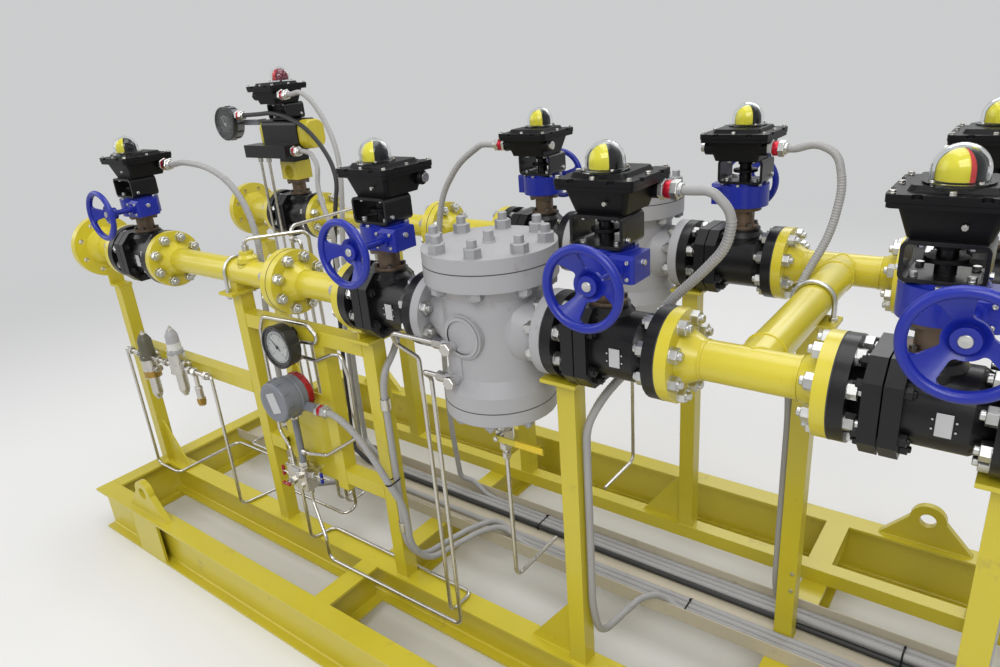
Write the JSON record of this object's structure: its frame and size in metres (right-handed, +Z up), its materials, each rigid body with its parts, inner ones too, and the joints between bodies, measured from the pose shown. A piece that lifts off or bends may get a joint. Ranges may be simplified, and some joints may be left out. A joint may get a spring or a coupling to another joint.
{
  "type": "pressure regulating skid",
  "caption": "Steel beam skid carrying two parallel pipe runs with ball valves, filter vessels, switch boxes and instruments.",
  "frame": {"origin": "centre of the skid's footprint on the floor", "axes": "+X along the pipe runs from inlet to outlet, +Y from the front run to the back run, +Z up"},
  "size_m": [3.486, 1.416, 1.87],
  "materials": {
    "yellow_paint": "gloss enamel",
    "pipe_yellow": "gloss enamel",
    "black_paint": "satin",
    "black_plastic": "textured",
    "blue_paint": "gloss enamel",
    "bare_bronze": "bare, browned",
    "grey_paint": "semi-gloss",
    "clear_dome": "clear",
    "beacon_yellow": "smooth",
    "beacon_red": "smooth",
    "tray_beige": "matt",
    "conduit_grey": "smooth jacket",
    "cable_black": "smooth jacket",
    "zinc_steel": "zinc plated",
    "stainless": "bright",
    "gauge_black": "case",
    "housing_grey": "semi-gloss"
  },
  "bodies": {
    "frame": {"actuator": "black_paint", "actuator_bracket": "yellow_paint", "actuator_cable": "cable_black", "actuator_caps": "yellow_paint", "bridging_piece": "yellow_paint", "cable_tray": "tray_beige", "conduits": "conduit_grey", "connectors": "stainless", "cross_beams": "yellow_paint", "crossover_pipe": "pipe_yellow", "domes": "clear_dome", "drain_valves": "stainless", "end_beams": "yellow_paint", "end_spools": "pipe_yellow", "gauge": "gauge_black", "gearboxes": "blue_paint", "gussets": "yellow_paint", "inner_rails": "yellow_paint", "instrument_frame": "yellow_paint", "instrument_plate": "yellow_paint", "instrument_post": "yellow_paint", "lifting_lugs": "yellow_paint", "lug_covers": "yellow_paint", "manifold": "stainless", "pipe_clamps": "zinc_steel", "pipe_rests": "yellow_paint", "positioner": "housing_grey", "post_plates": "yellow_paint", "posts": "yellow_paint", "regulators": "stainless", "run_spools": "pipe_yellow", "side_beams": "yellow_paint", "switch_boxes": "black_plastic", "switch_brackets": "black_paint", "switch_lids": "black_plastic", "transmitter": "housing_grey", "tubing": "stainless", "valve_bodies": "black_paint", "valve_bonnets": "bare_bronze", "vessel_bodies": "grey_paint", "vessel_bottoms": "grey_paint", "vessel_covers": "grey_paint"},
    "beacon_b1": {"beacon_b1": "beacon_red"},
    "beacon_b2": {"beacon_b2": "beacon_yellow"},
    "beacon_b3": {"beacon_b3": "beacon_yellow"},
    "beacon_b4": {"beacon_b4": "beacon_yellow"},
    "beacon_v1": {"beacon_v1": "beacon_yellow"},
    "beacon_v2": {"beacon_v2": "beacon_yellow"},
    "beacon_v3": {"beacon_v3": "beacon_yellow"},
    "beacon_v4": {"beacon_v4": "beacon_yellow"},
    "drain_lever_back": {"drain_lever_back": "yellow_paint"},
    "drain_lever_front": {"drain_lever_front": "yellow_paint"},
    "handwheel_b2": {"handwheel_b2": "blue_paint"},
    "handwheel_b3": {"handwheel_b3": "blue_paint"},
    "handwheel_b4": {"handwheel_b4": "blue_paint"},
    "handwheel_v1": {"handwheel_v1": "blue_paint"},
    "handwheel_v2": {"handwheel_v2": "blue_paint"},
    "handwheel_v3": {"handwheel_v3": "blue_paint"},
    "handwheel_v4": {"handwheel_v4": "blue_paint"}
  },
  "joints": [
    {"name": "beacon_b1_turn", "type": "hinge", "parent": "frame", "child": "beacon_b1", "pos_m": [-1.3325, 0.375, 1.6], "axis": [0, 0, -1], "range_deg": [0, 90]},
    {"name": "beacon_b2_turn", "type": "hinge", "parent": "frame", "child": "beacon_b2", "pos_m": [0.0265, 0.375, 1.6], "axis": [0, 0, -1], "range_deg": [0, 90]},
    {"name": "beacon_b3_turn", "type": "hinge", "parent": "frame", "child": "beacon_b3", "pos_m": [0.7345, 0.375, 1.6], "axis": [0, 0, -1], "range_deg": [0, 90]},
    {"name": "beacon_b4_turn", "type": "hinge", "parent": "frame", "child": "beacon_b4", "pos_m": [1.3325, 0.375, 1.6], "axis": [0, 0, -1], "range_deg": [0, 90]},
    {"name": "beacon_v1_turn", "type": "hinge", "parent": "frame", "child": "beacon_v1", "pos_m": [-1.3265, -0.375, 1.6], "axis": [0, 0, -1], "range_deg": [0, 90]},
    {"name": "beacon_v2_turn", "type": "hinge", "parent": "frame", "child": "beacon_v2", "pos_m": [0.0015, -0.375, 1.6], "axis": [0, 0, -1], "range_deg": [0, 90]},
    {"name": "beacon_v3_turn", "type": "hinge", "parent": "frame", "child": "beacon_v3", "pos_m": [0.6945, -0.375, 1.6], "axis": [0, 0, -1], "range_deg": [0, 90]},
    {"name": "beacon_v4_turn", "type": "hinge", "parent": "frame", "child": "beacon_v4", "pos_m": [1.3325, -0.375, 1.6], "axis": [0, 0, -1], "range_deg": [0, 90]},
    {"name": "drain_lever_back_swing", "type": "hinge", "parent": "frame", "child": "drain_lever_back", "pos_m": [0.364, 0.408, 0.89], "axis": [0, 1, 0], "range_deg": [0, 90]},
    {"name": "drain_lever_front_swing", "type": "hinge", "parent": "frame", "child": "drain_lever_front", "pos_m": [0.364, -0.408, 0.89], "axis": [0, 1, 0], "range_deg": [0, 90]},
    {"name": "handwheel_b2_turn", "type": "hinge", "parent": "frame", "child": "handwheel_b2", "pos_m": [-0.0295, 0.58, 1.416], "axis": [0, -1, 0], "range_deg": [0, 3060]},
    {"name": "handwheel_b3_turn", "type": "hinge", "parent": "frame", "child": "handwheel_b3", "pos_m": [0.6785, 0.58, 1.416], "axis": [0, -1, 0], "range_deg": [0, 3060]},
    {"name": "handwheel_b4_turn", "type": "hinge", "parent": "frame", "child": "handwheel_b4", "pos_m": [1.2765, 0.58, 1.416], "axis": [0, -1, 0], "range_deg": [0, 3060]},
    {"name": "handwheel_v1_turn", "type": "hinge", "parent": "frame", "child": "handwheel_v1", "pos_m": [-1.2705, -0.553, 1.416], "axis": [0, 1, 0], "range_deg": [0, 3060]},
    {"name": "handwheel_v2_turn", "type": "hinge", "parent": "frame", "child": "handwheel_v2", "pos_m": [0.0575, -0.58, 1.416], "axis": [0, 1, 0], "range_deg": [0, 3060]},
    {"name": "handwheel_v3_turn", "type": "hinge", "parent": "frame", "child": "handwheel_v3", "pos_m": [0.7505, -0.58, 1.416], "axis": [0, 1, 0], "range_deg": [0, 3060]},
    {"name": "handwheel_v4_turn", "type": "hinge", "parent": "frame", "child": "handwheel_v4", "pos_m": [1.3885, -0.58, 1.416], "axis": [0, 1, 0], "range_deg": [0, 3060]}
  ],
  "couplings": [
    {"joint": "beacon_b2_turn", "follows": "handwheel_b2_turn", "ratio": 0.029412},
    {"joint": "beacon_b3_turn", "follows": "handwheel_b3_turn", "ratio": 0.029412},
    {"joint": "beacon_b4_turn", "follows": "handwheel_b4_turn", "ratio": 0.029412},
    {"joint": "beacon_v1_turn", "follows": "handwheel_v1_turn", "ratio": 0.029412},
    {"joint": "beacon_v2_turn", "follows": "handwheel_v2_turn", "ratio": 0.029412},
    {"joint": "beacon_v3_turn", "follows": "handwheel_v3_turn", "ratio": 0.029412},
    {"joint": "beacon_v4_turn", "follows": "handwheel_v4_turn", "ratio": 0.029412}
  ]
}
